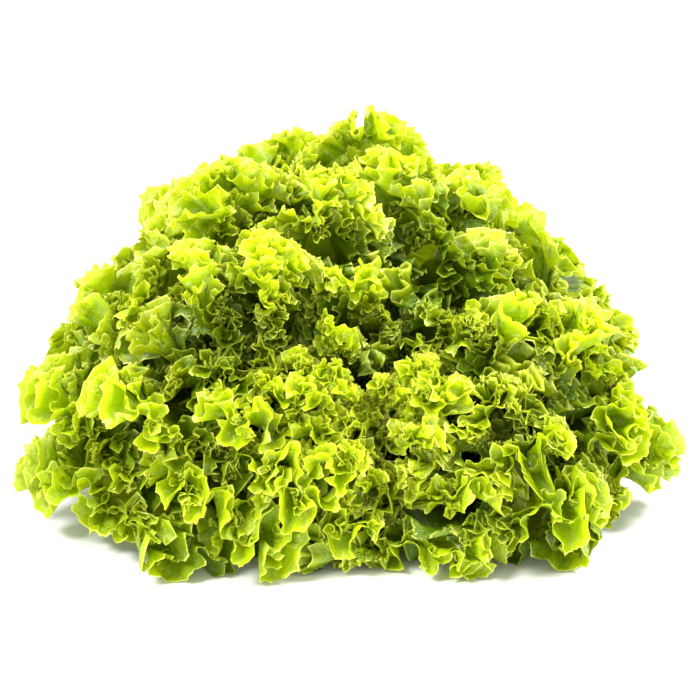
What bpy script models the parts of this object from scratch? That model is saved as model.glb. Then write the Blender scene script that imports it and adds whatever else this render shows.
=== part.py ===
"""A lollo bionda lettuce head: frilled leaves in a spiral on a short cut stem.

Metres, +Z up. The origin is the centre of the stem's flat cut face, which lies on the table.
The head leans towards -Y, so that its sunken heart shows from the front.

A leaf is laid out in three head coordinates. Reach is the distance from the hub, the point
inside the stem that the leaves spread from. Turn is the angle round the head, seen from above.
Layer runs from 0 on the leaning axis to 1 on the table. Every leaf has a layer of its own, and
its frills fill the room up to halfway to the next leaf, so no two leaves meet.
"""

import math

import bmesh
import bpy
import numpy as np
from mathutils import Vector
from mathutils.bvhtree import BVHTree

# The stem
STEM_RADIUS = 0.0172
STEM_FOOT_RADIUS = 0.0150
STEM_FOOT_EDGE = 0.003  # the cut face widens to the full radius over this length
STEM_BEND = 0.020  # the stem bends forwards over this length
STEM_TOP = 0.036  # length along the bent stem, from the cut face to its tip
STEM_DOME = 0.020  # length of the rounded top
STEM_DOME_RINGS = 5
STEM_SIDES = 16
HUB_ALONG_STEM = 0.016
LEAN = math.radians(50)

# The head
LEAVES = 58
GOLDEN_TURN = math.radians(137.508)
FIRST_TURN = math.radians(200)
LAYER_FIRST = 0.09
LAYER_LAST = 0.955
LAYER_CROWDING = 0.10  # leaves stand this much closer halfway out than on average
LAYER_STEP = 0.002  # for measuring the distance across layers
BACK_LIFT = math.radians(24)  # the outermost leaves rise this far off the table at the back
STEEPEST_DROP = 0.31  # sine of the steepest way down from the hub to the table
BASE_SPREAD = 1.0  # above 1, the feet of the leaves stand closer to the leaning axis
TIP_SPREAD = 1.10  # and above 1, their tips do
ARCH_REACH = 0.150

# The head's outside, as reaches from the hub
DOME_LEFT = 0.1355
DOME_RIGHT = 0.1285
DOME_FRONT = 0.105
DOME_BACK = 0.142
DOME_TOP = 0.142
CORNERS_FRONT = 4.5  # above 2, the outline seen from above is squarer than round
CORNERS_BACK = 2.6
SHOULDERS_LEFT = 1.85  # below 2, the shoulder slopes more than a round one
SHOULDERS_RIGHT = 1.6
HEART_REACH = 0.104
HEART_END_FRONT = 0.24  # the layers by which the sunken heart has opened to the full reach
HEART_END_BACK = 0.20
HEART_CURVE = 1.6
VALLEY_LAYERS = (0.10, 0.30, 0.55, 0.85)
VALLEY_TURNS = (  # in degrees, at those layers: the left, top, right, front and shoulder valley
    (140, 161, 176, 176),
    (57, 75, 76, 76),
    (36, 12, -8, -20),
    (-66, -70, -77, -78),
    (60, 58, 48, 44),
)
VALLEY_WIDTHS = (24, 12, 9, 8)  # in degrees, at the same layers
VALLEY_SPREADS = (1.0, 1.0, 1.0, 1.4, 2.4)  # how much wider than that each valley is
VALLEY_DEPTHS = (0.26, 0.22, 0.20, 0.22, 0.20)  # as a share of the reach
VALLEY_ENDS = (0.70, 0.45, 0.70, 1.0, 0.85)  # the layers where they have faded
VALLEY_FULL = 0.12  # valleys reach their full depth by this layer
VALLEY_FADE = 0.25  # and fade over this many layers

# One leaf
OPEN_LAYER = 0.45  # leaves from this layer outwards are fully open
INNER_HALF_ANGLE = math.radians(60)
OUTER_HALF_ANGLE = math.radians(40)
SIDE_ROOM = 1.04  # neighbours keep clear of a leaf this much wider than it is
TIP_VARIATION = (0.97, 1.04)
FOOT_SHARE = 0.27  # width of a leaf's foot, as a share of its widest
WIDEST_AT = 0.60  # share of the leaf's length
OUTLINE_STEPS = 60
RIB_END = 0.78
RIB_FAN = 1.15  # above 1, the veins that fan out from the rib start nearer its foot
BLADE = 0.0009
RIB_FOOT = 0.0016  # extra thickness of the rib at its foot
RIB_TIP = 0.0004
HEART_RIB = 0.10  # the innermost ribs, as a share of the outer ones
STEM_GAP = 0.0012
LEAF_GAP = 0.0024
TABLE_GAP = 0.0003

# Frills
FRILL_OUTER = 0.0437  # length of one wave along the margin
FRILL_INNER = 0.022
FRILL_HIGHEST = 0.0125
FRILL_START = 0.25
FRILL_DRIFT = 0.45  # how unevenly the waves are spaced
FOOT_FRILL = 0.25  # height of the waves at a leaf's foot, as a share of the full height
FOOT_END = 0.35  # share of the leaf's length where they have grown to it
LOBE_DEPTH = 0.009  # every second wave reaches out this much further
FEWEST_WAVES = 4
POINTS_PER_WAVE = 4
ROWS = (0.0, 0.55, 1.0)
TURN_SAMPLES = 720
ROOM_WINDOW = math.radians(6)

LEAF_GREEN = (0.36, 0.52, 0.03, 1.0)
STEM_WHITE = (0.80, 0.82, 0.55, 1.0)


def smooth_step(value):
    """0 below 0, 1 above 1, and a smooth rise between."""
    value = np.clip(value, 0.0, 1.0)
    return value * value * (3.0 - 2.0 * value)


def stem_centre(along):
    """Point and lean of the stem's centreline, this far from the cut face."""
    bend = min(along, STEM_BEND) / STEM_BEND
    angle = LEAN * bend
    side = STEM_BEND / LEAN * (1.0 - math.cos(angle))
    rise = STEM_BEND / LEAN * math.sin(angle)
    straight = max(along - STEM_BEND, 0.0)
    return Vector(
        (0.0, -side - straight * math.sin(LEAN), rise + straight * math.cos(LEAN))
    ), angle


HUB = np.array(stem_centre(HUB_ALONG_STEM)[0])
AXIS = np.array((0.0, -math.sin(LEAN), math.cos(LEAN)))


def layer_share(reach, layer):
    """How far a layer stands from the axis towards the table, as a share of that angle."""
    spread = BASE_SPREAD + (TIP_SPREAD - BASE_SPREAD) * smooth_step(reach / ARCH_REACH)
    return np.clip(layer, 0.0, 1.0) ** spread


def foot_direction(reach, turn):
    """Direction from the hub of the lowest layer, which lies on the table at the front."""
    drop = np.arcsin(np.clip((HUB[2] - TABLE_GAP) / reach, 0.0, STEEPEST_DROP))
    lift = BACK_LIFT * (0.5 + 0.5 * np.sin(turn)) * smooth_step(reach / ARCH_REACH)
    level = lift - drop
    return np.stack(
        [np.cos(turn) * np.cos(level), np.sin(turn) * np.cos(level), np.sin(level)], -1
    )


def place(reach, turn, layer):
    """The points at these reaches, turns and layers."""
    foot = foot_direction(reach, turn)
    arc = np.arccos(np.clip(foot @ AXIS, -1.0, 1.0))
    share = layer_share(reach, layer)
    from_axis = np.sin((1.0 - share) * arc) / np.sin(arc)
    from_foot = np.sin(share * arc) / np.sin(arc)
    direction = from_axis[..., None] * AXIS + from_foot[..., None] * foot
    return HUB + reach[..., None] * direction


def layer_metres(reach, turn, layer):
    """Metres across one whole layer unit at these points."""
    near = place(reach, turn, layer - LAYER_STEP)
    far = place(reach, turn, layer + LAYER_STEP)
    return np.linalg.norm(far - near, axis=-1) / (2 * LAYER_STEP)


def dome_reach(layer, turn):
    """Reach of the head's outside: a squarish dome, with the heart sunken in it."""
    x, y, z = (place(np.array(DOME_TOP), turn, layer) - HUB) / DOME_TOP
    across = abs(x) / (DOME_LEFT if x < 0 else DOME_RIGHT)
    ahead = abs(y) / (DOME_FRONT if y < 0 else DOME_BACK)
    corners = CORNERS_FRONT if y < 0 else CORNERS_BACK
    level = (across**corners + ahead**corners) ** (1.0 / corners)
    right = 0.5 + 0.5 * x / math.hypot(x, y)
    shoulders = SHOULDERS_LEFT + (SHOULDERS_RIGHT - SHOULDERS_LEFT) * right
    full = (level**shoulders + abs(z / DOME_TOP) ** shoulders) ** (-1.0 / shoulders)
    back = 0.5 + 0.5 * math.sin(turn)
    heart_end = HEART_END_FRONT + (HEART_END_BACK - HEART_END_FRONT) * back
    opened = 1.0 - (1.0 - min(layer / heart_end, 1.0)) ** HEART_CURVE
    return HEART_REACH + (full - HEART_REACH) * opened


def wrapped(angle):
    """The angle brought between -pi and pi."""
    return (angle + math.pi) % math.tau - math.pi


def valley(turn, layer):
    """How far the valleys between the head's four lobes cut in, as a share of the reach."""
    width = np.interp(layer, VALLEY_LAYERS, VALLEY_WIDTHS)
    cut = 0.0
    for turns, spread, depth, end in zip(VALLEY_TURNS, VALLEY_SPREADS, VALLEY_DEPTHS, VALLEY_ENDS):
        off = np.degrees(wrapped(turn - math.radians(np.interp(layer, VALLEY_LAYERS, turns))))
        fade = 1.0 - smooth_step((layer - end) / VALLEY_FADE + 1.0)
        cut = cut + depth * fade * np.exp(-((off / (width * spread)) ** 2))
    return cut * smooth_step(layer / VALLEY_FULL)


class Leaf:
    """One leaf's place in the spiral, its size and its frills."""

    def __init__(self, index):
        share = index / (LEAVES - 1)
        chance = np.random.default_rng(100 + index)
        self.index = index
        self.turn = FIRST_TURN + index * GOLDEN_TURN
        share += LAYER_CROWDING * math.sin(math.tau * share) / math.tau
        self.layer = LAYER_FIRST + (LAYER_LAST - LAYER_FIRST) * share
        opening = float(smooth_step(self.layer / OPEN_LAYER))
        self.half_angle = INNER_HALF_ANGLE + (OUTER_HALF_ANGLE - INNER_HALF_ANGLE) * opening
        self.tip = dome_reach(self.layer, self.turn) * chance.uniform(*TIP_VARIATION)
        self.rib_foot = RIB_FOOT * (HEART_RIB + (1.0 - HEART_RIB) * opening)
        self.wave = FRILL_INNER + (FRILL_OUTER - FRILL_INNER) * opening
        self.phase = chance.uniform(0.0, math.tau)
        self.drift = chance.uniform(-1.0, 1.0, 4)
        self.set_outline()

    def set_outline(self):
        """Tables along the margin, from foot to foot round the tip: length and across."""
        rise = np.linspace(0.0, 1.0, OUTLINE_STEPS)
        foot_side = FOOT_SHARE + (1.0 - FOOT_SHARE) * np.sin(rise * math.pi / 2)
        round_end = rise[1:] * math.pi / 2
        length = np.concatenate(
            [rise * WIDEST_AT, WIDEST_AT + (1.0 - WIDEST_AT) * np.sin(round_end)]
        )
        across = np.concatenate([foot_side, np.cos(round_end)])
        length = np.concatenate([length, length[-2::-1]])
        across = np.concatenate([-across, across[-2::-1]])
        points = self.on_layer(length, across)
        steps = np.linalg.norm(np.diff(points, axis=0), axis=1)
        self.margin_length = float(steps.sum())
        self.margin_share = np.concatenate([[0.0], np.cumsum(steps)]) / self.margin_length
        self.margin_along, self.margin_across = length, across
        self.waves = max(FEWEST_WAVES, round(self.margin_length / self.wave))

    def spot(self, along, across):
        """Reach and turn of a place on the leaf."""
        turn = self.turn + self.half_angle * across
        length = (self.tip - STEM_RADIUS) * (1.0 - valley(turn, self.layer))
        return STEM_RADIUS + length * along, turn

    def on_layer(self, along, across):
        """Points of the flat leaf, without frills."""
        reach, turn = self.spot(along, across)
        return place(reach, turn, np.full_like(reach, self.layer))

    def blade(self, share, row):
        """Reach, turn and outward wave (from -1 to 1) at a share of the margin and a row."""
        margin_along = np.interp(share, self.margin_share, self.margin_along)
        margin_across = np.interp(share, self.margin_share, self.margin_across)
        start = RIB_END * margin_along**RIB_FAN
        along = start + (margin_along - start) * row
        across = margin_across * row
        phase = math.tau * self.waves * share + self.phase
        for k, drift in enumerate(self.drift):
            phase = phase + FRILL_DRIFT * drift * np.sin(math.tau * (k + 1) * share + 3 * drift)
        swell = smooth_step((row - FRILL_START) / (1.0 - FRILL_START))
        grown = smooth_step(margin_along / FOOT_END)
        wave = np.sin(phase) * swell * (FOOT_FRILL + (1.0 - FOOT_FRILL) * grown)
        reach, turn = self.spot(along, across)
        reach = reach + LOBE_DEPTH * swell * grown * np.sin(0.5 * phase + 2 * self.phase)
        return reach, turn, wave, along


def room_tables(leaves):
    """For each leaf, how far it may swing in and out, in layers, at every turn of the head."""
    turns = np.linspace(-math.pi, math.pi, TURN_SAMPLES, endpoint=False)
    tables = []
    for leaf in leaves:
        inward = np.full(TURN_SAMPLES, leaf.layer)
        outward = np.full(TURN_SAMPLES, 2.0 * (1.0 - leaf.layer))
        for other in leaves:
            if other is leaf:
                continue
            there = np.abs(wrapped(turns - other.turn)) < other.half_angle * SIDE_ROOM
            gap = abs(other.layer - leaf.layer)
            side = inward if other.layer < leaf.layer else outward
            side[there] = np.minimum(side[there], gap)
        tables.append((ease_room(inward), ease_room(outward)))
    return turns, tables


def ease_room(room):
    """Half the room, smoothed round the head without ever growing."""
    window = round(ROOM_WINDOW / math.tau * TURN_SAMPLES)
    shifts = range(-window, window + 1)
    least = np.min([np.roll(room, shift) for shift in shifts], axis=0)
    return 0.5 * np.mean([np.roll(least, shift) for shift in shifts], axis=0)


def frilled_layer(leaf, reach, turn, wave, turns, tables):
    """The layer of each point once its wave has filled the room between its neighbours."""
    inward, outward = tables
    around = wrapped(turn)
    inward = np.interp(around, turns, inward, period=math.tau)
    outward = np.interp(around, turns, outward, period=math.tau)
    flat = np.full_like(reach, leaf.layer)
    unit = layer_metres(reach, turn, flat)
    clear = 0.5 * (BLADE + LEAF_GAP) / unit
    inward = np.clip(inward - clear, 0.0, FRILL_HIGHEST / unit)
    outward = np.clip(outward - clear, 0.0, FRILL_HIGHEST / unit)
    middle = 0.5 * (outward - inward)
    height = 0.5 * (outward + inward)
    return flat + np.abs(wave) * middle + wave * height, unit


def build_stem():
    """The cut stem: a bent round stub with a flat cut face and a domed top."""
    mesh = bpy.data.meshes.new("cut_stem")
    bm = bmesh.new()
    dome_start = STEM_TOP - STEM_DOME
    stations = [(0.0, STEM_FOOT_RADIUS), (STEM_FOOT_EDGE, STEM_RADIUS)]
    for step in range(STEM_DOME_RINGS):
        climb = step / STEM_DOME_RINGS
        radius = STEM_RADIUS * math.sqrt(1.0 - climb**2)
        stations.append((dome_start + STEM_DOME * climb, radius))
    rings = []
    for along, radius in stations:
        centre, lean = stem_centre(along)
        ring = []
        for side in range(STEM_SIDES):
            angle = math.tau * side / STEM_SIDES
            x, y = radius * math.cos(angle), radius * math.sin(angle)
            ring.append(bm.verts.new(centre + Vector((x, y * math.cos(lean), y * math.sin(lean)))))
        rings.append(ring)
    tip = bm.verts.new(stem_centre(STEM_TOP)[0])
    bm.faces.new(reversed(rings[0]))
    for lower, upper in zip(rings, rings[1:]):
        for side in range(STEM_SIDES):
            after = (side + 1) % STEM_SIDES
            bm.faces.new((lower[side], lower[after], upper[after], upper[side]))
    for side in range(STEM_SIDES):
        bm.faces.new((rings[-1][side], rings[-1][(side + 1) % STEM_SIDES], tip))
    bmesh.ops.triangulate(bm, faces=bm.faces)
    bm.to_mesh(mesh)
    tree = BVHTree.FromBMesh(bm)
    bm.free()
    return mesh, tree


def clear_of_stem(points, stem_tree):
    """Moves points out along their rays from the hub until they clear the stem."""
    hub = Vector(HUB)
    for point in points:
        ray = Vector(point) - hub
        hit = stem_tree.ray_cast(hub, ray.normalized())[3]
        if hit is not None and ray.length < hit + STEM_GAP:
            point[:] = hub + ray.normalized() * (hit + STEM_GAP)
    return points


def leaf_sheets(leaf, turns, tables):
    """The inner and the outer face of a leaf, each a grid of columns and rows."""
    columns = 2 * round(leaf.waves * POINTS_PER_WAVE / 2)
    share = np.linspace(0.0, 1.0, columns + 1)[:, None]
    row = np.array(ROWS)[None, :]
    share, row = np.broadcast_arrays(share, row)
    reach, turn, wave, along = leaf.blade(share, row)
    layer, unit = frilled_layer(leaf, reach, turn, wave, turns, tables)
    rib = leaf.rib_foot + (RIB_TIP - leaf.rib_foot) * smooth_step(along / RIB_END)
    thickness = (BLADE + rib * (row == 0.0)) / unit
    outer_layer = np.minimum(layer + 0.5 * thickness, 1.0)
    return place(reach, turn, outer_layer - thickness), place(reach, turn, outer_layer)


def leaf_mesh(leaf, turns, tables, stem_tree):
    """One leaf as a closed thin blade, thicker along its rib, with a frilled margin."""
    sheets = leaf_sheets(leaf, turns, tables)
    columns = len(sheets[0]) - 1
    last_row = len(ROWS) - 1
    number = {}
    points = []
    for side, sheet in enumerate(sheets):
        for column in range(columns + 1):
            for level in range(last_row + 1):
                key = (side, min(column, columns - column) if level == 0 else column, level)
                if key not in number:
                    number[key] = len(points)
                    points.append(sheet[column, level].copy())
                number[side, column, level] = number[key]
    points = clear_of_stem(points, stem_tree)
    faces = []
    for column in range(columns):
        for level in range(last_row):
            a, b = (column, level), (column + 1, level)
            c, d = (column + 1, level + 1), (column, level + 1)
            if column < columns // 2:
                pieces = ((a, b, c), (a, c, d))
            else:
                pieces = ((a, b, d), (b, c, d))
            for piece in pieces:
                faces.append([number[0, *corner] for corner in reversed(piece)])
                faces.append([number[1, *corner] for corner in piece])
        faces += wall(number, (column, last_row), (column + 1, last_row))
    for level in range(last_row):
        faces += wall(number, (0, level), (0, level + 1))
        faces += wall(number, (columns, level + 1), (columns, level))
    mesh = bpy.data.meshes.new(f"leaf_{leaf.index + 1:02d}")
    mesh.from_pydata([tuple(point) for point in points], [], faces)
    return mesh


def wall(number, start, end):
    """Two triangles of the rim, from the inner sheet to the outer one."""
    a, b = number[0, *start], number[0, *end]
    c, d = number[1, *end], number[1, *start]
    return [[b, a, d], [b, d, c]]


def make_material(name, colour, roughness):
    material = bpy.data.materials.new(name)
    material.use_nodes = True
    shader = material.node_tree.nodes["Principled BSDF"]
    shader.inputs["Base Color"].default_value = colour
    shader.inputs["Roughness"].default_value = roughness
    return material


def add_object(mesh, material):
    mesh.materials.append(material)
    obj = bpy.data.objects.new(mesh.name, mesh)
    bpy.context.scene.collection.objects.link(obj)
    return obj


def main():
    for obj in list(bpy.data.objects):
        bpy.data.objects.remove(obj)
    green = make_material("leaf_green", LEAF_GREEN, 0.45)
    white = make_material("stem_white", STEM_WHITE, 0.55)
    stem, stem_tree = build_stem()
    add_object(stem, white)
    leaves = [Leaf(index) for index in range(LEAVES)]
    turns, tables = room_tables(leaves)
    for leaf, room in zip(leaves, tables):
        add_object(leaf_mesh(leaf, turns, room, stem_tree), green)


main()
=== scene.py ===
"""The looks of a lollo bionda lettuce head: every leaf as a fine frilled sheet, its stem and light.

Metres, +Z up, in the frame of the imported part. The head's layout and each leaf's first waves
are worked out the same way as in the part's source. Finer folds, flounces, teeth, veins and the
stem's leaf scars come on top of them here.
"""

import math
from collections import namedtuple

import bpy
import numpy as np
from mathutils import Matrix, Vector

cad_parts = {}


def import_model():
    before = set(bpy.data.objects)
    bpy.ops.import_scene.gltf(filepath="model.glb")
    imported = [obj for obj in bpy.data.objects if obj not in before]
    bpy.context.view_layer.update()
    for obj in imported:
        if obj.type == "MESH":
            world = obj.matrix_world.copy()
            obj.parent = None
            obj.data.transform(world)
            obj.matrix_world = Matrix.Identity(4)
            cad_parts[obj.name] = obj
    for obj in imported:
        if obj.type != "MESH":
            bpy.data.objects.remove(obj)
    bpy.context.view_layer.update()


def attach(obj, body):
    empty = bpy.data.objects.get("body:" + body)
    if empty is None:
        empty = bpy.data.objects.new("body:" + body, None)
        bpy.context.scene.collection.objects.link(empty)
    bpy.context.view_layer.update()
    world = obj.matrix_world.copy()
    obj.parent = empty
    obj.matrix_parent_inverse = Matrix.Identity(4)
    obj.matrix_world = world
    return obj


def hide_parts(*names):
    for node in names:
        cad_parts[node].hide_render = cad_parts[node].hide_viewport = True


# The stem
STEM_RADIUS = 0.0172
STEM_FOOT_RADIUS = 0.0150
STEM_FOOT_EDGE = 0.003  # the cut face widens to the full radius over this length
STEM_BEND = 0.020  # the stem bends forwards over this length
STEM_TOP = 0.036  # length along the bent stem, from the cut face to its tip
STEM_DOME = 0.020  # length of the rounded top
HUB_ALONG_STEM = 0.016
LEAN = math.radians(50)

# The head
LEAVES = 58
GOLDEN_TURN = math.radians(137.508)
FIRST_TURN = math.radians(200)
LEAF_SEED = 100  # each leaf draws its own chances from these, with its number added
FOLD_SEED = 500
LAYER_FIRST = 0.09
LAYER_LAST = 0.955
LAYER_CROWDING = 0.10  # leaves stand this much closer halfway out than on average
LAYER_STEP = 0.002  # for measuring the distance across layers
BACK_LIFT = math.radians(24)  # the outermost leaves rise this far off the table at the back
STEEPEST_DROP = 0.31  # sine of the steepest way down from the hub to the table
BASE_SPREAD = 1.0  # above 1, the feet of the leaves stand closer to the leaning axis
TIP_SPREAD = 1.10  # and above 1, their tips do
ARCH_REACH = 0.150

# The head's outside, as reaches from the hub
DOME_LEFT = 0.1355
DOME_RIGHT = 0.1285
DOME_FRONT = 0.105
DOME_BACK = 0.142
DOME_TOP = 0.142
CORNERS_FRONT = 4.5  # above 2, the outline seen from above is squarer than round
CORNERS_BACK = 2.6
SHOULDERS_LEFT = 1.85  # below 2, the shoulder slopes more than a round one
SHOULDERS_RIGHT = 1.6
HEART_REACH = 0.104
HEART_END_FRONT = 0.24  # the layers by which the sunken heart has opened to the full reach
HEART_END_BACK = 0.20
HEART_CURVE = 1.6
VALLEY_LAYERS = (0.10, 0.30, 0.55, 0.85)
VALLEY_TURNS = (  # in degrees, at those layers: the left, top, right, front and shoulder valley
    (140, 161, 176, 176),
    (57, 75, 76, 76),
    (36, 12, -8, -20),
    (-66, -70, -77, -78),
    (60, 58, 48, 44),
)
VALLEY_WIDTHS = (24, 12, 9, 8)  # in degrees, at the same layers
VALLEY_SPREADS = (1.0, 1.0, 1.0, 1.4, 2.4)  # how much wider than that each valley is
VALLEY_DEPTHS = (0.26, 0.22, 0.20, 0.22, 0.20)  # as a share of the reach
VALLEY_ENDS = (0.70, 0.45, 0.70, 1.0, 0.85)  # the layers where they have faded
VALLEY_FULL = 0.12  # valleys reach their full depth by this layer
VALLEY_FADE = 0.25  # and fade over this many layers

# One leaf
OPEN_LAYER = 0.45  # leaves from this layer outwards are fully open
INNER_HALF_ANGLE = math.radians(60)
OUTER_HALF_ANGLE = math.radians(40)
SIDE_ROOM = 1.04  # neighbours keep clear of a leaf this much wider than it is
TIP_VARIATION = (0.97, 1.04)
FOOT_SHARE = 0.27  # width of a leaf's foot, as a share of its widest
WIDEST_AT = 0.60  # share of the leaf's length
OUTLINE_STEPS = 60
RIB_END = 0.78
RIB_FAN = 1.15  # above 1, the veins that fan out from the rib start nearer its foot
BLADE = 0.0009
LEAF_GAP = 0.0024
TABLE_GAP = 0.0003

# Frills
FRILL_OUTER = 0.0437  # length of one wave along the margin
FRILL_INNER = 0.022
FRILL_HIGHEST = 0.0125
FRILL_START = 0.25
FRILL_DRIFT = 0.45  # how unevenly the waves are spaced
DRIFT_TERMS = 4
DRIFT_START = 3.0  # each term of the drift starts at this many times its own size, in radians
FOOT_FRILL = 0.25  # height of the waves at a leaf's foot, as a share of the full height
FOOT_END = 0.35  # share of the leaf's length where they have grown to it
LOBE_DEPTH = 0.009  # every second wave reaches out this much further
LOBE_START = 2.0  # times the phase of the leaf's waves
FEWEST_WAVES = 4
TURN_SAMPLES = 720
ROOM_WINDOW = math.radians(6)

# Finer folds of a frill, coarse to fine: length of a wave, bend to each side, lean outwards,
# depth of the bent band, and the bend on the outermost leaves as a share of the full one
FineFrill = namedtuple("FineFrill", "length bend lean band outermost")
FINE_FRILLS = (
    FineFrill(0.0165, math.radians(62), math.radians(8), 0.024, 1.0),
    FineFrill(0.0088, math.radians(46), math.radians(4), 0.008, 0.5),
)
OLD_LAYER = 0.85  # leaves from this layer outwards bend like the outermost
STRAIGHTEN = 0.5  # how much of the bend the margin itself loses again
MEANDER = 0.09  # sideways swing of a fold, as a share of its length
OVERHANG = 0.10  # of the first waves, as a share of their length
FRILL_UNEVEN = 1.0  # how unevenly folds are spaced, in radians
FRILL_SKEW = 1.2  # how far folds lean along the margin as they deepen, in radians
SPACING_FOLDS = 4  # folds to a swing of their spacing and lean
SIZE_FOLDS = 3  # folds to a swing of their depth and bend
BAND_SPREAD = (1.0, 0.4, 0.55, 1.6)  # of a band's depth: usual share, swing, least and most
BEND_SPREAD = (0.9, 0.4, 0.35, 1.5)  # the same of the bend
BAND_LIMIT = 0.85  # bands and flounces start no deeper than this share of the way to the rib
FOLD_LAYERS = (0.1, 0.4, 0.95)
FOLD_SIZES = (0.55, 1.05, 1.5)  # size of the folds at those layers
NOISE_TERMS = 5
NOISE_RATES = (0.4, 1.6)  # slowest and fastest term, as shares of the usual rate

# The leaves that end high on the right have broader folds
BROAD_SIDE = 0.32  # broader by this share
BROAD_FROM = (-0.005, 0.045)  # x and height of a leaf's tip where this starts
BROAD_OVER = (0.045, 0.040)  # and the lengths over which it grows
BROAD_TIP = 0.95  # the tip is taken this far along the leaf
BROAD_LEAF = 0.5  # from this share of the growth on, a leaf is a broad one
BROAD_LACKS = 1  # and goes without this flounce, counted from 0

# Teeth, by the folds of the finest frill: rate, height and start of each row of teeth. The
# second row grows faster with a leaf's folds.
ToothRow = namedtuple("ToothRow", "rate height start")
TEETH = (ToothRow(1.0, 0.0016, 0.0), ToothRow(2.37, 0.0012, 1.0))
TOOTH_LARGEST = 1.1  # size of the teeth on the largest folds
TOOTH_DEPTH = 0.0036
TOOTH_SHARPNESS = 0.85  # the lower, the sharper the points
TOOTH_BALANCE = 0.3  # the margin moves in by this share of a tooth between the teeth
TOOTH_SPREAD = (0.8, 0.6, 0.1, 1.8)  # of the height: usual share, swing, least and most
TOOTH_ROOM = 0.010  # a sheet narrower than this has smaller teeth

# Flounces, folds of the leaf in front of its upper face, by the depth of the root below the
# margin, the width, the tilt and the last layer whose leaves have them
Flounce = namedtuple("Flounce", "root width tilt last_layer")
FLOUNCES = (
    Flounce(0.013, 0.011, math.radians(32), 1.0),
    Flounce(0.023, 0.013, math.radians(38), 1.0),
    Flounce(0.034, 0.014, math.radians(42), 0.55),
    Flounce(0.046, 0.015, math.radians(46), 0.44),
)
FLOUNCE_LARGEST = 1.0  # size of the flounces on the largest folds
FLOUNCE_ENDS = 0.22  # share of the margin where they start and end
FLOUNCE_TAPER = 0.15  # share of their length over which they grow to full width
SMOOTH_COLUMNS = 31  # a flounce's direction is the mean over this many columns

# The mesh of a leaf, in bands from rib to margin: the step between the columns, and the rows as
# shares of the way to the margin
BANDS = (
    (8, (0.0, 0.10, 0.22, 0.34)),
    (4, (0.45, 0.55, 0.64, 0.72, 0.785)),
    (2, (0.835, 0.875, 0.910)),
    (1, (0.942, 0.972, 1.0)),
)
FLOUNCE_BANDS = ((4, (0.0,)), (2, (0.35,)), (1, (0.62, 0.82, 1.0)))
SHOWN_FROM = (0.20, 0.28)  # shares of the margin between its hidden and its shown part
COLUMN_STEPS = (0.0008, 0.0003)  # width of a column in those parts
HEART_SHOWS = 0.12  # the heart's leaves show from this much closer to their foot
PLACE_SAMPLES = 4000
TABLE_SOFT = 0.004  # what is lower than this is pressed closer together above the table
DEPTH_LEAST = 1e-6  # keeps every depth and reach above nothing
SHORTEST = 1e-9  # keeps a vector's length above nothing

# Painted shade: darker towards the hub, in the gaps between the leaves
VALLEY_UNSHADED = 0.6  # this share of a valley's depth gets no painted shade
HEART_UNSHADED = 0.008  # the heart's leaves start to get painted shade this much further down
SHADED_SIDE = 0.011  # painted shade low on the right: the leaves there are as dark as others this much deeper
SHADED_RIGHT = 0.080  # in full from this x on, growing from none at 0
SHADED_TOP = 0.100  # and only below this height
SHADED_FALL = 0.060  # in full this much lower

# The fine stem
STEM_RINGS = 24
STEM_FOOT_RINGS = 4
STEM_FINE_SIDES = 72
STEM_RIDGE = 0.0011
STEM_HOLLOW = 0.0008  # depth of the hollow in the cut face
STEM_SCARS = ((5, 260.0, 0.0), (3, -420.0, 1.0))  # times round, radians a metre upwards, start

# Colours
LEAF_DEEP = (0.290, 0.460, 0.002, 1.0)
# painted shade: the dark green laid into the gaps between the leaves
LEAF_PAINTED_SHADE = (0.110, 0.210, 0.002, 1.0)
LEAF_BRIGHT = (0.520, 0.680, 0.003, 1.0)
LEAF_YELLOW = (0.760, 0.820, 0.008, 1.0)
LEAF_RIM = (0.900, 0.930, 0.150, 1.0)
LEAF_GLOW = (0.750, 0.820, 0.006, 1.0)
# painted highlight: whitish sheen laid over the leaf's faces
LEAF_PAINTED_SHEEN = (0.780, 0.860, 0.400, 1.0)
LEAF_VEIN = (0.800, 0.860, 0.260, 1.0)
STEM_PALE = (0.800, 0.820, 0.550, 1.0)
STEM_GREEN = (0.550, 0.660, 0.250, 1.0)
STEM_BROWN = (0.380, 0.230, 0.100, 1.0)
FLOOR_WHITE = (0.92, 0.92, 0.92, 1.0)
FLOOR_GREY = (0.89, 0.89, 0.89, 1.0)
SKY_WHITE = (1.0, 1.0, 1.0, 1.0)

# Where colours lie over others: where each starts, where it is full, and its share there
YELLOW_BAND = (0.0070, 0.0008, 0.80)  # by depth below the margin
RIM_BAND = (0.0011, 0.0002, 0.90)
OLD_GREEN = (0.50, 0.90, 0.55)  # by a leaf's layer
PAINTED_SHADE_BAND = (0.004, 0.028, 0.92)  # painted shade, by length below the tips, under the mottle and the rims
PAINTED_SHADE_OVER_RIMS = (0.010, 0.036, 0.60)  # more painted shade, the same way, over them
PATCHES = (0.35, 0.68, 1.00)  # these and the rest by noise
# painted highlight: whitish sheen spots, by noise
PAINTED_SHEEN_SPOTS = (0.54, 0.74, 0.55)
MOTTLE = (0.50, 0.80, 0.25)
STEM_PATCHES = (0.35, 0.70, 1.00)
STEM_STAINS = (0.58, 0.75, 1.00)
TONE_SHARE = 0.35  # of deep green on a leaf of the deepest tone
GLOW_SHARE = 0.45  # of the glow's own colour in the light that comes through a leaf
THROUGH_SHARE = 0.32  # of light that comes through

# Noise: cycles a metre, and how finely it is detailed
PATCH_SCALE = 55.0
# size of the painted sheen spots
PAINTED_SHEEN_SCALE = 150.0
MOTTLE_SCALE = 420.0
BLISTER_SCALE = 130.0
GRAIN_SCALE = 300.0
WANDER_SCALE = 60.0
STEM_PATCH_SCALE = 130.0
STEM_STAIN_SCALE = 45.0
STEM_GRAIN_SCALE = 350.0
FLOOR_SCALE = 9.0
USUAL_DETAIL = 3.0
FINE_DETAIL = 4.0
FINEST_DETAIL = 5.0
FLOOR_DETAIL = 2.0
NOISE_ROUGHNESS = 0.55

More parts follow.
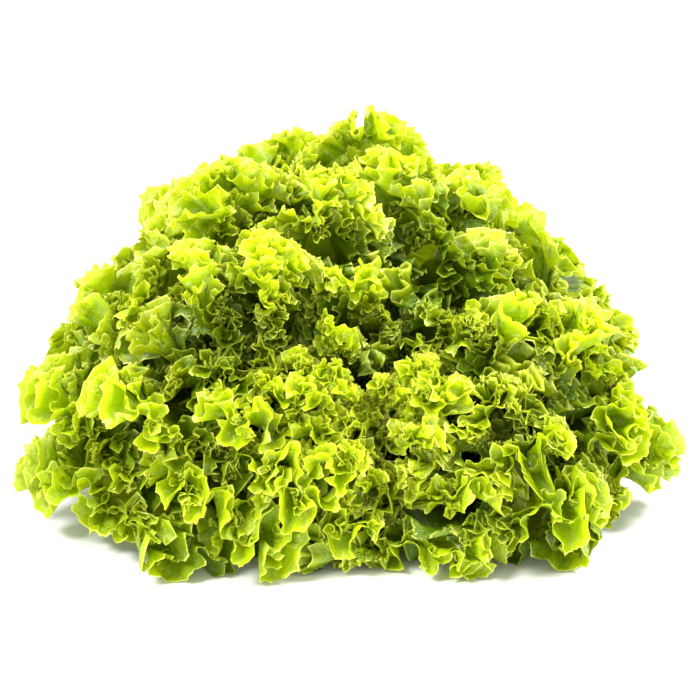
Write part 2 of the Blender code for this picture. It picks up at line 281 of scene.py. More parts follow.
# Veins
VEIN_RATE = 420.0  # radians of the vein pattern for each metre along the margin
VEIN_WANDER = 5.0  # how far the pattern strays, in radians
VEIN_EDGES = (0.26, 0.05)  # height of the pattern's wave where a vein starts and is full
VEIN_DEPTHS = (0.001, 0.006)  # below the margin, where veins start and are full
VEIN_SHARE = 0.50
VEIN_HEIGHT = -0.6  # veins are grooves on the upper face

# Surfaces
BLISTER_HEIGHT = 1.8  # times the grain's
LEAF_BUMP = (0.60, 0.0015)  # strength, and distance in metres
STEM_BUMP = (0.50, 0.0010)
LEAF_ROUGHNESS = 0.32
LEAF_SPECULAR = 0.6
STEM_ROUGHNESS = 0.42
FLOOR_ROUGHNESS = 0.85
FLOOR_SPECULAR = 0.1
MIX_SHARE, MIX_FIRST, MIX_SECOND, MIX_RESULT = 0, 6, 7, 2  # sockets of a colour mix

# Studio
FLOOR_SIZE = 8.0
FLOOR_GAP = 0.0002
HEAD_MIDDLE = 0.06  # the height that the lights point at
SKY_STRENGTH = 1.15
LIGHTS = (  # name, place, size and power
    ("key", (-1.2, -1.2, 1.8), 0.7, 58.0),
    ("fill", (1.6, -1.4, 1.2), 1.2, 3.0),
    ("back", (1.2, 0.0, 1.9), 0.9, 90.0),
)
CAMERA_LIFT = math.radians(20)
CAMERA_DISTANCE = 1.2
CAMERA_LENS = 143.0
CAMERA_SENSOR = 36.0
CAMERA_FAR = 20.0
CAMERA_TARGET = (-0.0052, 0.0, 0.0605)


def smooth_step(value):
    """0 below 0, 1 above 1, and a smooth rise between."""
    value = np.clip(value, 0.0, 1.0)
    return value * value * (3.0 - 2.0 * value)


def stem_centre(along):
    """Point and lean of the stem's centreline, this far from the cut face."""
    bend = min(along, STEM_BEND) / STEM_BEND
    angle = LEAN * bend
    side = STEM_BEND / LEAN * (1.0 - math.cos(angle))
    rise = STEM_BEND / LEAN * math.sin(angle)
    straight = max(along - STEM_BEND, 0.0)
    return Vector(
        (0.0, -side - straight * math.sin(LEAN), rise + straight * math.cos(LEAN))
    ), angle


HUB = np.array(stem_centre(HUB_ALONG_STEM)[0])
AXIS = np.array((0.0, -math.sin(LEAN), math.cos(LEAN)))


def layer_share(reach, layer):
    """How far a layer stands from the axis towards the table, as a share of that angle."""
    spread = BASE_SPREAD + (TIP_SPREAD - BASE_SPREAD) * smooth_step(reach / ARCH_REACH)
    return np.clip(layer, 0.0, 1.0) ** spread


def foot_direction(reach, turn):
    """Direction from the hub of the lowest layer, which lies on the table at the front."""
    drop = np.arcsin(np.clip((HUB[2] - TABLE_GAP) / reach, 0.0, STEEPEST_DROP))
    lift = BACK_LIFT * (0.5 + 0.5 * np.sin(turn)) * smooth_step(reach / ARCH_REACH)
    level = lift - drop
    return np.stack(
        [np.cos(turn) * np.cos(level), np.sin(turn) * np.cos(level), np.sin(level)], -1
    )


def place(reach, turn, layer):
    """The points at these reaches, turns and layers."""
    foot = foot_direction(reach, turn)
    arc = np.arccos(np.clip(foot @ AXIS, -1.0, 1.0))
    share = layer_share(reach, layer)
    from_axis = np.sin((1.0 - share) * arc) / np.sin(arc)
    from_foot = np.sin(share * arc) / np.sin(arc)
    direction = from_axis[..., None] * AXIS + from_foot[..., None] * foot
    return HUB + reach[..., None] * direction


def layer_metres(reach, turn, layer):
    """Metres across one whole layer unit at these points."""
    near = place(reach, turn, layer - LAYER_STEP)
    far = place(reach, turn, layer + LAYER_STEP)
    return np.linalg.norm(far - near, axis=-1) / (2 * LAYER_STEP)


def dome_reach(layer, turn):
    """Reach of the head's outside: a squarish dome, with the heart sunken in it."""
    x, y, z = (place(np.array(DOME_TOP), turn, layer) - HUB) / DOME_TOP
    across = abs(x) / (DOME_LEFT if x < 0 else DOME_RIGHT)
    ahead = abs(y) / (DOME_FRONT if y < 0 else DOME_BACK)
    corners = CORNERS_FRONT if y < 0 else CORNERS_BACK
    level = (across**corners + ahead**corners) ** (1.0 / corners)
    right = 0.5 + 0.5 * x / math.hypot(x, y)
    shoulders = SHOULDERS_LEFT + (SHOULDERS_RIGHT - SHOULDERS_LEFT) * right
    full = (level**shoulders + abs(z / DOME_TOP) ** shoulders) ** (-1.0 / shoulders)
    back = 0.5 + 0.5 * math.sin(turn)
    heart_end = HEART_END_FRONT + (HEART_END_BACK - HEART_END_FRONT) * back
    opened = 1.0 - (1.0 - min(layer / heart_end, 1.0)) ** HEART_CURVE
    return HEART_REACH + (full - HEART_REACH) * opened


def wrapped(angle):
    """The angle brought between -pi and pi."""
    return (angle + math.pi) % math.tau - math.pi


def valley(turn, layer):
    """How far the head's valleys cut in, as a share of the reach."""
    width = np.interp(layer, VALLEY_LAYERS, VALLEY_WIDTHS)
    cut = 0.0
    for turns, spread, depth, end in zip(VALLEY_TURNS, VALLEY_SPREADS, VALLEY_DEPTHS, VALLEY_ENDS):
        off = np.degrees(wrapped(turn - math.radians(np.interp(layer, VALLEY_LAYERS, turns))))
        fade = 1.0 - smooth_step((layer - end) / VALLEY_FADE + 1.0)
        cut = cut + depth * fade * np.exp(-((off / (width * spread)) ** 2))
    return cut * smooth_step(layer / VALLEY_FULL)


class Leaf:
    """One leaf's place in the spiral, its size, its outline and its first waves."""

    def __init__(self, index):
        share = index / (LEAVES - 1)
        chance = np.random.default_rng(LEAF_SEED + index)
        self.index = index
        self.turn = FIRST_TURN + index * GOLDEN_TURN
        share += LAYER_CROWDING * math.sin(math.tau * share) / math.tau
        self.layer = LAYER_FIRST + (LAYER_LAST - LAYER_FIRST) * share
        opening = float(smooth_step(self.layer / OPEN_LAYER))
        self.half_angle = INNER_HALF_ANGLE + (OUTER_HALF_ANGLE - INNER_HALF_ANGLE) * opening
        self.tip = dome_reach(self.layer, self.turn) * chance.uniform(*TIP_VARIATION)
        self.wave = FRILL_INNER + (FRILL_OUTER - FRILL_INNER) * opening
        self.phase = chance.uniform(0.0, math.tau)
        self.drift = chance.uniform(-1.0, 1.0, DRIFT_TERMS)
        self.tone = chance.uniform(0.0, 1.0)
        self.set_outline()
        self.set_folds()

    def set_outline(self):
        """Tables along the margin, from foot to foot round the tip: length and across."""
        rise = np.linspace(0.0, 1.0, OUTLINE_STEPS)
        foot_side = FOOT_SHARE + (1.0 - FOOT_SHARE) * np.sin(rise * math.pi / 2)
        round_end = rise[1:] * math.pi / 2
        length = np.concatenate(
            [rise * WIDEST_AT, WIDEST_AT + (1.0 - WIDEST_AT) * np.sin(round_end)]
        )
        across = np.concatenate([foot_side, np.cos(round_end)])
        length = np.concatenate([length, length[-2::-1]])
        across = np.concatenate([-across, across[-2::-1]])
        points = self.on_layer(length, across)
        steps = np.linalg.norm(np.diff(points, axis=0), axis=1)
        self.margin_length = float(steps.sum())
        self.margin_share = np.concatenate([[0.0], np.cumsum(steps)]) / self.margin_length
        self.margin_along, self.margin_across = length, across
        self.waves = max(FEWEST_WAVES, round(self.margin_length / self.wave))

    def set_folds(self):
        """The size of the leaf's folds, larger outwards and towards the upper right."""
        tip = self.on_layer(np.array([BROAD_TIP]), np.array([0.0]))[0]
        right = smooth_step((tip[0] - BROAD_FROM[0]) / BROAD_OVER[0])
        high = smooth_step((tip[2] - BROAD_FROM[1]) / BROAD_OVER[1])
        self.broad = right * high
        size = float(np.interp(self.layer, FOLD_LAYERS, FOLD_SIZES))
        self.fold_size = size * (1.0 + BROAD_SIDE * self.broad)

    def spot(self, along, across):
        """Reach and turn of a place on the leaf."""
        turn = self.turn + self.half_angle * across
        length = (self.tip - STEM_RADIUS) * (1.0 - valley(turn, self.layer))
        return STEM_RADIUS + length * along, turn

    def on_layer(self, along, across):
        """Points of the flat leaf, without frills."""
        reach, turn = self.spot(along, across)
        return place(reach, turn, np.full_like(reach, self.layer))

    def blade(self, share, row):
        """Reach, turn, outward wave (from -1 to 1), its phase and its strength.

        They are given at shares of the margin and rows, as shares of the way to the margin.
        """
        margin_along = np.interp(share, self.margin_share, self.margin_along)
        margin_across = np.interp(share, self.margin_share, self.margin_across)
        start = RIB_END * margin_along**RIB_FAN
        along = start + (margin_along - start) * row
        across = margin_across * row
        phase = math.tau * self.waves * share + self.phase
        for cycles, drift in enumerate(self.drift, 1):
            swing = np.sin(math.tau * cycles * share + DRIFT_START * drift)
            phase = phase + FRILL_DRIFT * drift * swing
        swell = smooth_step((row - FRILL_START) / (1.0 - FRILL_START))
        grown = smooth_step(margin_along / FOOT_END)
        wave = np.sin(phase) * swell * (FOOT_FRILL + (1.0 - FOOT_FRILL) * grown)
        reach, turn = self.spot(along, across)
        lobe = np.sin(0.5 * phase + LOBE_START * self.phase)
        reach = reach + LOBE_DEPTH * swell * grown * lobe
        return reach, turn, wave, phase, swell * grown


def room_tables(leaves):
    """For each leaf, how far it may swing in and out, in layers, at every turn of the head."""
    turns = np.linspace(-math.pi, math.pi, TURN_SAMPLES, endpoint=False)
    tables = []
    for leaf in leaves:
        inward = np.full(TURN_SAMPLES, leaf.layer)
        outward = np.full(TURN_SAMPLES, 2.0 * (1.0 - leaf.layer))
        for other in leaves:
            if other is leaf:
                continue
            there = np.abs(wrapped(turns - other.turn)) < other.half_angle * SIDE_ROOM
            gap = abs(other.layer - leaf.layer)
            side = inward if other.layer < leaf.layer else outward
            side[there] = np.minimum(side[there], gap)
        tables.append((ease_room(inward), ease_room(outward)))
    return turns, tables


def ease_room(room):
    """Half the room, smoothed round the head without ever growing."""
    window = round(ROOM_WINDOW / math.tau * TURN_SAMPLES)
    shifts = range(-window, window + 1)
    least = np.min([np.roll(room, shift) for shift in shifts], axis=0)
    return 0.5 * np.mean([np.roll(least, shift) for shift in shifts], axis=0)


def frilled_layer(leaf, reach, turn, wave, turns, tables):
    """The layer of each point once its wave has filled the room between its neighbours."""
    inward, outward = tables
    around = wrapped(turn)
    inward = np.interp(around, turns, inward, period=math.tau)
    outward = np.interp(around, turns, outward, period=math.tau)
    flat = np.full_like(reach, leaf.layer)
    unit = layer_metres(reach, turn, flat)
    clear = 0.5 * (BLADE + LEAF_GAP) / unit
    inward = np.clip(inward - clear, 0.0, FRILL_HIGHEST / unit)
    outward = np.clip(outward - clear, 0.0, FRILL_HIGHEST / unit)
    middle = 0.5 * (outward - inward)
    height = 0.5 * (outward + inward)
    return flat + np.abs(wave) * middle + wave * height


# Leaf sheets

def unit_vectors(vectors):
    """The vectors at length 1."""
    return vectors / np.maximum(np.linalg.norm(vectors, axis=-1, keepdims=True), SHORTEST)


def surface_frame(points):
    """Unit normals, and unit tangents along the margin, of a grid of points."""
    along = unit_vectors(np.gradient(points, axis=0))
    outward = np.gradient(points, axis=1)
    return unit_vectors(np.cross(along, outward)), along


def soft_noise(chance, share, cycles):
    """A smooth random curve along the margin, about -1 to 1, with this many cycles."""
    value = np.zeros_like(share)
    for _ in range(NOISE_TERMS):
        rate = cycles * chance.uniform(*NOISE_RATES)
        value = value + np.sin(math.tau * rate * share + chance.uniform(0.0, math.tau))
    return value / math.sqrt(NOISE_TERMS)


def uneven(chance, share, cycles, spread):
    """Random shares along the margin, about the usual one and between the least and most."""
    usual, swing, least, most = spread
    return np.clip(usual + swing * soft_noise(chance, share, cycles), least, most)


def margin_run(points):
    """Length along the margin, from its start to each column, for the last row."""
    steps = np.linalg.norm(np.diff(points[:, -1], axis=0), axis=1)
    return np.concatenate([[0.0], np.cumsum(steps)])[:, None]


def curl(points, angle):
    """Bends the veins of a grid about the margin's direction, outwards where the angle is positive."""
    _, along = surface_frame(points)
    steps = np.diff(points, axis=1)
    axis = unit_vectors(along[:, 1:] + along[:, :-1])
    turn = (0.5 * (angle[:, 1:] + angle[:, :-1]))[..., None]
    level = np.sum(axis * steps, axis=-1, keepdims=True) * (1.0 - np.cos(turn))
    bent = steps * np.cos(turn) + np.cross(axis, steps) * np.sin(turn) + axis * level
    root = points[:, :1]
    return np.concatenate([root, root + np.cumsum(bent, axis=1)], axis=1)


def add_frill(points, depth, chance, frill, leaf):
    """Curls a grid's margin outwards and inwards in turn; also gives the phase of the folds."""
    length, band = frill.length * leaf.fold_size, frill.band * leaf.fold_size
    bend = frill.bend * (1.0 + (frill.outermost - 1.0) * smooth_step(leaf.layer / OLD_LAYER))
    run = margin_run(points)
    cycles = max(run[-1, 0] / length, 1.0)
    share = run / run[-1, 0]
    angle = math.tau * run / length
    angle = angle + FRILL_UNEVEN * soft_noise(chance, share, cycles / SPACING_FOLDS)
    band = band * uneven(chance, share, cycles / SIZE_FOLDS, BAND_SPREAD)
    near = 1.0 - depth / np.minimum(band, BAND_LIMIT * depth[:, :1])
    strength = smooth_step(near) * (1.0 - STRAIGHTEN * smooth_step(2.0 * near - 1.0))
    skew = FRILL_SKEW * soft_noise(chance, share, cycles / SPACING_FOLDS)
    angle = angle + skew * (1.0 - strength)
    strong = uneven(chance, share, cycles / SIZE_FOLDS, BEND_SPREAD)
    _, along = surface_frame(points)
    slide = MEANDER * length * strong * strength * np.sin(2 * angle)
    points = points - slide[..., None] * along
    return curl(points, strength * (bend * strong * np.sin(angle) + frill.lean)), angle[:, -1:]


def add_teeth(points, depth, angle, chance, size):
    """Pulls the margin out into points, with hollow curves between."""
    outward = unit_vectors(np.gradient(points, axis=1))
    cycles = max(1.0, (angle[-1, 0] - angle[0, 0]) / math.tau)
    share = margin_run(points)
    share = share / share[-1, 0]
    push = np.zeros_like(angle)
    for row, tooth in enumerate(TEETH):
        cusp = 1.0 - np.abs(np.cos(tooth.rate * angle + tooth.start)) ** TOOTH_SHARPNESS
        heights = uneven(chance, share, tooth.rate * cycles, TOOTH_SPREAD)
        push = push + tooth.height * size**row * heights * (cusp - TOOTH_BALANCE)
    near = smooth_step(1.0 - depth / (TOOTH_DEPTH * size))
    strength = near * smooth_step(depth[:, :1] / TOOTH_ROOM)
    return points + (size * push * strength)[..., None] * outward


def add_folds(points, depth, chance, leaf):
    """A grid of points with its finer frills and teeth."""
    for frill in FINE_FRILLS:
        points, angle = add_frill(points, depth, chance, frill, leaf)
    return add_teeth(points, depth, angle, chance, min(leaf.fold_size, TOOTH_LARGEST))


def above_table(height):
    """Presses what would sink into the table flat onto it."""
    pressed = TABLE_SOFT * np.exp((np.minimum(height, TABLE_SOFT) - TABLE_SOFT) / TABLE_SOFT)
    return np.where(height > TABLE_SOFT, height, pressed)


def margin_places(leaf):
    """Places of a leaf's columns along its margin, closest together where it shows."""
    share = np.linspace(0.0, 1.0, PLACE_SAMPLES)
    along = np.interp(share, leaf.margin_share, leaf.margin_along)
    across = np.interp(share, leaf.margin_share, leaf.margin_across)
    run = np.linalg.norm(np.diff(leaf.on_layer(along, across), axis=0), axis=1)
    from_foot = np.minimum(share, 1.0 - share)
    from_foot = from_foot + HEART_SHOWS * (1.0 - smooth_step(leaf.layer / OPEN_LAYER))
    step = np.interp(from_foot, SHOWN_FROM, COLUMN_STEPS)
    count = np.concatenate([[0.0], np.cumsum(run / (0.5 * (step[1:] + step[:-1])))])
    whole = 2 * BANDS[0][0]
    columns = whole * round(count[-1] / whole)
    return np.interp(np.linspace(0.0, count[-1], columns + 1), count, share)[:, None]


def band_rows(bands):
    """The rows of all bands, as shares of the way to the margin."""
    return np.array([row for _, band in bands for row in band])[None, :]


def leaf_points(leaf, share, turns, tables, chance):
    """The grid of a leaf's points, with each point's depth from the margin."""
    rows = band_rows(BANDS)
    reach, turn, wave, phase, strength = leaf.blade(*np.broadcast_arrays(share, rows))
    flat = place(reach, turn, np.full_like(reach, leaf.layer))
    points = place(reach, turn, frilled_layer(leaf, reach, turn, wave, turns, tables))
    vein = np.linalg.norm(flat[:, -1] - flat[:, 0], axis=-1)[:, None]
    depth = (1.0 - rows) * vein + DEPTH_LEAST
    sideways = unit_vectors(np.gradient(flat, axis=0))
    slide = OVERHANG * leaf.wave * strength * np.sin(2 * phase)
    points = points - slide[..., None] * sideways
    return add_folds(points, depth, chance, leaf), depth


def at_depth(grid, depth, wanted):
    """Values of a grid where each column is this deep, by linear steps between its rows."""
    wanted = np.minimum(wanted, BAND_LIMIT * depth[:, 0])
    row = np.argmax(depth <= wanted[:, None], axis=1)
    column = np.arange(len(grid))
    above, below = depth[column, row], depth[column, row - 1]
    part = ((below - wanted) / (below - above))[:, None]
    return grid[column, row - 1] * (1.0 - part) + grid[column, row] * part


def smoothed(vectors):
    """Vectors along the margin, each averaged with its neighbours."""
    kernel = np.ones(SMOOTH_COLUMNS) / SMOOTH_COLUMNS
    padded = [np.pad(part, SMOOTH_COLUMNS // 2, "edge") for part in vectors.T]
    return unit_vectors(np.stack([np.convolve(part, kernel, "valid") for part in padded], -1))


def flounce_points(leaf, points, depth, flounce, chance):
    """A frilled fold of the leaf in front of its upper face, with its own depths."""
    size = min(FLOUNCE_LARGEST, leaf.fold_size)
    below = flounce.root * size
    normal, _ = surface_frame(points)
    outward = unit_vectors(np.gradient(points, axis=1))
    root = at_depth(points, depth, below)
    normal = smoothed(at_depth(normal, depth, below))
    outward = smoothed(at_depth(outward, depth, below))
    side = unit_vectors(outward * math.cos(flounce.tilt) - normal * math.sin(flounce.tilt))
    rows = band_rows(FLOUNCE_BANDS)
    taper = smooth_step(np.linspace(0.0, 1.0, len(root)) / FLOUNCE_TAPER)
    length = flounce.width * size * taper * taper[::-1]
    reach = rows * length[:, None] + DEPTH_LEAST * rows
    sheet = root[:, None] + reach[..., None] * side[:, None]
    depth = (1.0 - rows) * length[:, None] + DEPTH_LEAST
    return add_folds(sheet, depth, chance, leaf), depth


def banded_grid(columns, steps, one_rib):
    """Grid places and faces of a sheet whose rows have wider steps towards its root.

    With one rib, the first row's two halves are the same line of points.
    """
    numbers, places = [], []
    for row, step in enumerate(steps):
        line = {}
        for column in range(0, columns + 1, step):
            twin = columns - column
            if one_rib and row == 0 and twin < column:
                line[column] = line[twin]
                continue
            line[column] = len(places)
            places.append((column, row))
        numbers.append(line)
    faces = []
    for row in range(len(steps) - 1):
        wide, fine = steps[row], steps[row + 1]
        low, high = numbers[row], numbers[row + 1]
        for column in range(0, columns, wide):
            after = column + wide
            a, b, c, d = low[column], low[after], high[after], high[column]
            if wide == fine:
                faces.append((a, d, c, b))
            else:
                middle = high[column + fine]
                faces += [(a, d, middle), (a, middle, b), (b, middle, c)]
    return np.array(places), faces


def sheet_mesh(points, depth, share, bands, one_rib):
    """A sheet's vertices, each with its depth and its share of the margin, and its faces."""
    steps = [step for step, band in bands for _ in band]
    places, faces = banded_grid(len(points) - 1, steps, one_rib)
    columns, rows = places.T
    return points[columns, rows], depth[columns, rows], share[columns, 0], faces


def leaf_sheets(leaf, turns, tables):
    """The meshes of a leaf's blade and flounces."""
    chance = np.random.default_rng(FOLD_SEED + leaf.index)
    share = margin_places(leaf)
    points, depth = leaf_points(leaf, share, turns, tables, chance)
    sheets = [sheet_mesh(points, depth, share, BANDS, True)]
    shown = np.flatnonzero((share > FLOUNCE_ENDS) & (share < 1.0 - FLOUNCE_ENDS))
    widest = FLOUNCE_BANDS[0][0]
    shown = shown[: (len(shown) - 1) // widest * widest + 1]
    for number, flounce in enumerate(FLOUNCES):
        lacking = leaf.broad > BROAD_LEAF and number == BROAD_LACKS
        if leaf.layer <= flounce.last_layer and not lacking:
            fold, below = flounce_points(leaf, points[shown], depth[shown], flounce, chance)
            sheets.append(sheet_mesh(fold, below, share[shown], FLOUNCE_BANDS, False))
    return sheets


def painted_shade_depths(leaf, points):
    """How deep each point lies in painted shade: its length below the tips of the leaf round it, seen
    from the hub, plus the painted shade low on the right.
    """
    away = points - HUB
    turn = np.arctan2(away[:, 1], away[:, 0])
    cut = VALLEY_UNSHADED * valley(turn, leaf.layer)
    surface = STEM_RADIUS + (leaf.tip - STEM_RADIUS) * (1.0 - cut)
    surface = surface - HEART_UNSHADED * (1.0 - smooth_step(leaf.layer / OPEN_LAYER))
    # painted shade low on the right of the head
    side_shade = smooth_step(points[:, 0] / SHADED_RIGHT) * smooth_step((SHADED_TOP - points[:, 2]) / SHADED_FALL)
    return surface + SHADED_SIDE * side_shade - np.linalg.norm(away, axis=1)


def new_object(name, points, faces, material):
    """A smooth mesh of these points and faces, as an object in the scene."""
    mesh = bpy.data.meshes.new(name)
    mesh.from_pydata(points, [], faces)
    mesh.polygons.foreach_set("use_smooth", np.ones(len(mesh.polygons), bool))
    mesh.materials.append(material)
    obj = bpy.data.objects.new(name, mesh)
    bpy.context.scene.collection.objects.link(obj)
    return obj


def leaf_object(leaf, turns, tables, material):
    """One leaf with its flounces, and what its colours go by at each point."""
    points, depths, shares, faces = [], [], [], []
    for vertices, depth, share, corners in leaf_sheets(leaf, turns, tables):
        start = sum(len(part) for part in points)
        points.append(vertices)
        depths.append(depth)
        shares.append(share)
        faces += [tuple(start + corner for corner in face) for face in corners]
    points = np.concatenate(points)
    points[:, 2] = above_table(points[:, 2])
    obj = new_object(f"frilled_leaf_{leaf.index + 1:02d}", points.tolist(), faces, material)
    attributes = {
        "depth": np.concatenate(depths),
        "run": np.concatenate(shares) * leaf.margin_length,
        "tone": np.full(len(points), leaf.tone),
        # depth in painted shade, for the dark green laid into the gaps
        "painted_shade_depth": painted_shade_depths(leaf, points),
        "age": np.full(len(points), leaf.layer),
    }
    for name, values in attributes.items():
        attribute = obj.data.attributes.new(name, "FLOAT", "POINT")
        attribute.data.foreach_set("value", values.astype(np.float32))
    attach(obj, "root")
    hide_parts(f"leaf_{leaf.index + 1:02d}")
    return obj


# Stem

def foot_ring(share):
    """A ring of points in the hollow cut face, at this share of its radius."""
    ring = []
    for side in range(STEM_FINE_SIDES):
        angle = math.tau * side / STEM_FINE_SIDES
        x = STEM_FOOT_RADIUS * share * math.cos(angle)
        y = STEM_FOOT_RADIUS * share * math.sin(angle)
        ring.append(Vector((x, y, STEM_HOLLOW * (1.0 - share**2))))
    return ring


def stem_ring(along):
    """A ring of points round the stem, this far from the cut face, with the leaf scars' ridges."""
    climb = max(0.0, (along - (STEM_TOP - STEM_DOME)) / STEM_DOME)
    edge = min(along / STEM_FOOT_EDGE, 1.0)
    radius = STEM_RADIUS * math.sqrt(max(0.0, 1.0 - climb**2))
    radius *= (STEM_FOOT_RADIUS + (STEM_RADIUS - STEM_FOOT_RADIUS) * edge) / STEM_RADIUS
    centre, lean = stem_centre(along)
    ring = []
    for side in range(STEM_FINE_SIDES):
        angle = math.tau * side / STEM_FINE_SIDES
        waves = [math.sin(times * angle + rate * along + start) for times, rate, start in STEM_SCARS]
        rough = radius - STEM_RIDGE * (0.5 + 0.5 * math.prod(waves)) * (1.0 - climb) * edge
        x, y = rough * math.cos(angle), rough * math.sin(angle)
        ring.append(centre + Vector((x, y * math.cos(lean), y * math.sin(lean))))
    return ring


def stem_object(material):
    """The cut stem: rings from the middle of its cut face outwards, and up to its tip."""
    rings = [foot_ring(1.0 - ring / STEM_FOOT_RINGS) for ring in range(STEM_FOOT_RINGS - 1, 0, -1)]
    rings += [stem_ring(STEM_TOP * ring / STEM_RINGS) for ring in range(STEM_RINGS)]
    points = [Vector((0.0, 0.0, STEM_HOLLOW))]
    points += [point for ring in rings for point in ring]
    points.append(stem_centre(STEM_TOP)[0])
    tip = len(points) - 1
    faces = []
    for side in range(STEM_FINE_SIDES):
        after = (side + 1) % STEM_FINE_SIDES
        faces.append((1 + after, 1 + side, 0))
        for low in range(1, tip - STEM_FINE_SIDES, STEM_FINE_SIDES):
            high = low + STEM_FINE_SIDES
            faces.append((low + side, low + after, high + after, high + side))
        last = tip - STEM_FINE_SIDES
        faces.append((last + side, last + after, tip))
    obj = new_object("stem_stub", points, faces, material)
    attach(obj, "root")
    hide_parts("cut_stem")
    return obj


# Materials

class Nodes:
    """Short calls for building a material's node tree."""

    def __init__(self, name):
        self.material = bpy.data.materials.new(name)
        self.material.use_nodes = True
        self.tree = self.material.node_tree
        self.tree.nodes.clear()

    def feed(self, socket, value):
        """Links a socket to another one, or gives it a plain value."""
        if isinstance(value, bpy.types.NodeSocket):
            self.tree.links.new(value, socket)
        else:
            socket.default_value = value

    def add(self, kind, inputs=None, **settings):
        """A new node with these inputs and settings."""
        node = self.tree.nodes.new(kind)
        for name, value in settings.items():
            setattr(node, name, value)
        for name, value in (inputs or {}).items():
            self.feed(node.inputs[name], value)
        return node

    def attribute(self, name):
        """The mesh's own value at each point."""
        return self.add("ShaderNodeAttribute", attribute_name=name).outputs["Fac"]

    def math(self, operation, *values):
        """One operation on one to three values."""
        node = self.add("ShaderNodeMath", operation=operation)
        for socket, value in zip(node.inputs, values):
            self.feed(socket, value)
        return node.outputs[0]

    def ramp(self, value, low, high, most=1.0):
        """0 at low, the most at high, with smooth ends."""
        inputs = {"Value": value, "From Min": low, "From Max": high, "To Max": most}
        node = self.add("ShaderNodeMapRange", inputs, interpolation_type="SMOOTHSTEP")
        return node.outputs["Result"]

    def mix(self, share, first, second):
        """The first colour with this share of the second."""
        inputs = {MIX_SHARE: share, MIX_FIRST: first, MIX_SECOND: second}
        return self.add("ShaderNodeMix", inputs, data_type="RGBA").outputs[MIX_RESULT]

    def over(self, colour, tint, value, band):
        """A tint laid over a colour where a value is in this band."""
        return self.mix(self.ramp(value, *band), colour, tint)

    def noise(self, scale, detail=USUAL_DETAIL):
        """Soft random values from 0 to 1, fixed to the object."""
        spot = self.add("ShaderNodeTexCoord").outputs["Object"]
        inputs = {"Vector": spot, "Scale": scale, "Detail": detail, "Roughness": NOISE_ROUGHNESS}
        return self.add("ShaderNodeTexNoise", inputs).outputs["Fac"]

    def bump(self, height, size):
        """The normals of a surface that this height roughens."""
        strength, distance = size
        inputs = {"Strength": strength, "Distance": distance, "Height": height}
        return self.add("ShaderNodeBump", inputs).outputs[0]

    def surface(self, colour, roughness, inputs):
        """The shader of a surface, with these inputs besides its colour and roughness."""
        inputs = {"Base Color": colour, "Roughness": roughness, **inputs}
        return self.add("ShaderNodeBsdfPrincipled", inputs).outputs[0]

    def output(self, shader):
        """The material, finished with this shader."""
        self.add("ShaderNodeOutputMaterial", {"Surface": shader})
        return self.material


def leaf_veins(nodes, depth):
    """1 in the middle of the veins that run side by side to the margin, and 0 between them."""
    wander = nodes.math("MULTIPLY", nodes.noise(WANDER_SCALE), VEIN_WANDER)
    angle = nodes.math("MULTIPLY_ADD", nodes.attribute("run"), VEIN_RATE, wander)
    wave = nodes.math("ABSOLUTE", nodes.math("SINE", angle))
    return nodes.math("MULTIPLY", nodes.ramp(wave, *VEIN_EDGES), nodes.ramp(depth, *VEIN_DEPTHS))


def leaf_material():
    """Fresh leaf: yellow towards the pale rims, with painted shade in the gaps, painted sheen in pale
    spots, and light shining through.
    """
    nodes = Nodes("lettuce_leaf")
    depth = nodes.attribute("depth")
    painted_shade_depth = nodes.attribute("painted_shade_depth")
    vein = leaf_veins(nodes, depth)
    colour = nodes.over(LEAF_DEEP, LEAF_BRIGHT, nodes.noise(PATCH_SCALE), PATCHES)
    colour = nodes.over(colour, LEAF_YELLOW, depth, YELLOW_BAND)
    tone = nodes.math("MULTIPLY", nodes.attribute("tone"), TONE_SHARE)
    colour = nodes.mix(tone, colour, LEAF_DEEP)
    colour = nodes.mix(nodes.math("MULTIPLY", vein, VEIN_SHARE), colour, LEAF_VEIN)
    # painted highlight: whitish sheen spots
    colour = nodes.over(colour, LEAF_PAINTED_SHEEN, nodes.noise(PAINTED_SHEEN_SCALE, FINE_DETAIL), PAINTED_SHEEN_SPOTS)
    colour = nodes.over(colour, LEAF_DEEP, nodes.attribute("age"), OLD_GREEN)
    # painted shade in the gaps between the leaves
    colour = nodes.over(colour, LEAF_PAINTED_SHADE, painted_shade_depth, PAINTED_SHADE_BAND)
    colour = nodes.over(colour, LEAF_YELLOW, nodes.noise(MOTTLE_SCALE), MOTTLE)
    colour = nodes.over(colour, LEAF_RIM, depth, RIM_BAND)
    # painted shade again, this time over the rims
    colour = nodes.over(colour, LEAF_PAINTED_SHADE, painted_shade_depth, PAINTED_SHADE_OVER_RIMS)
    blisters = nodes.math("MULTIPLY", nodes.noise(BLISTER_SCALE), BLISTER_HEIGHT)
    height = nodes.math("ADD", blisters, nodes.noise(GRAIN_SCALE, FINE_DETAIL))
    height = nodes.math("ADD", height, nodes.math("MULTIPLY", vein, VEIN_HEIGHT))
    bump = nodes.bump(height, LEAF_BUMP)
    inputs = {"Specular IOR Level": LEAF_SPECULAR, "Normal": bump}
    gloss = nodes.surface(colour, LEAF_ROUGHNESS, inputs)
    glow_colour = nodes.mix(GLOW_SHARE, colour, LEAF_GLOW)
    glow = nodes.add("ShaderNodeBsdfTranslucent", {"Color": glow_colour, "Normal": bump}).outputs[0]
    shader = nodes.add("ShaderNodeMixShader", {0: THROUGH_SHARE, 1: gloss, 2: glow}).outputs[0]
    return nodes.output(shader)


def stem_material():
    """Moist pale stem with green patches and brown stains."""
    nodes = Nodes("lettuce_stem")
    colour = nodes.over(STEM_PALE, STEM_GREEN, nodes.noise(STEM_PATCH_SCALE), STEM_PATCHES)
    colour = nodes.over(colour, STEM_BROWN, nodes.noise(STEM_STAIN_SCALE), STEM_STAINS)
    bump = nodes.bump(nodes.noise(STEM_GRAIN_SCALE, FINEST_DETAIL), STEM_BUMP)
    return nodes.output(nodes.surface(colour, STEM_ROUGHNESS, {"Normal": bump}))


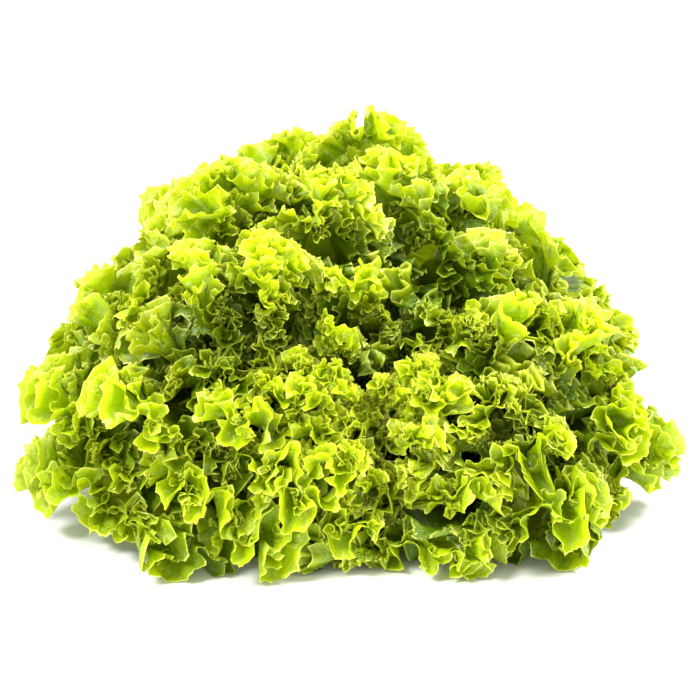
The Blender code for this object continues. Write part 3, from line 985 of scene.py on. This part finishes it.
def floor_material():
    """Plain pale studio floor."""
    nodes = Nodes("studio_floor")
    shade = nodes.mix(nodes.noise(FLOOR_SCALE, FLOOR_DETAIL), FLOOR_WHITE, FLOOR_GREY)
    inputs = {"Specular IOR Level": FLOOR_SPECULAR}
    return nodes.output(nodes.surface(shade, FLOOR_ROUGHNESS, inputs))


# Studio

def add_floor():
    """A wide floor just below the head."""
    half = FLOOR_SIZE / 2
    corners = (-half, -half), (half, -half), (half, half), (-half, half)
    points = [(x, y, -FLOOR_GAP) for x, y in corners]
    floor = new_object("studio_floor", points, [(0, 1, 2, 3)], floor_material())


def add_light(name, place_at, size, power):
    """A round soft light that points at the head's middle."""
    light = bpy.data.lights.new(name, "AREA")
    light.shape = "DISK"
    light.size = size
    light.energy = power
    obj = bpy.data.objects.new(name, light)
    obj.location = place_at
    towards = Vector((0.0, 0.0, HEAD_MIDDLE)) - obj.location
    obj.rotation_euler = towards.to_track_quat("-Z", "Y").to_euler()
    bpy.context.scene.collection.objects.link(obj)


def add_world():
    """An even white sky."""
    world = bpy.data.worlds.new("studio")
    world.use_nodes = True
    background = world.node_tree.nodes["Background"]
    background.inputs["Color"].default_value = SKY_WHITE
    background.inputs["Strength"].default_value = SKY_STRENGTH
    bpy.context.scene.world = world


def add_camera():
    """A long lens in front of the head, looking slightly down on it."""
    camera = bpy.data.cameras.new("camera")
    camera.lens = CAMERA_LENS
    camera.sensor_width = CAMERA_SENSOR
    camera.clip_end = CAMERA_FAR
    obj = bpy.data.objects.new("camera", camera)
    bpy.context.scene.collection.objects.link(obj)
    away = Vector((0.0, -math.cos(CAMERA_LIFT), math.sin(CAMERA_LIFT)))
    obj.location = Vector(CAMERA_TARGET) + away * CAMERA_DISTANCE
    obj.rotation_euler = away.to_track_quat("Z", "Y").to_euler()
    bpy.context.scene.camera = obj


def main():
    """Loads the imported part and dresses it."""
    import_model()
    add_camera()
    add_world()
    add_floor()
    for name, place_at, size, power in LIGHTS:
        add_light(name, place_at, size, power)
    stem_object(stem_material())
    leaves = [Leaf(index) for index in range(LEAVES)]
    turns, tables = room_tables(leaves)
    green = leaf_material()
    for leaf, room in zip(leaves, tables):
        leaf_object(leaf, turns, room, green)
    bpy.context.scene.view_settings.view_transform = "Standard"


main()
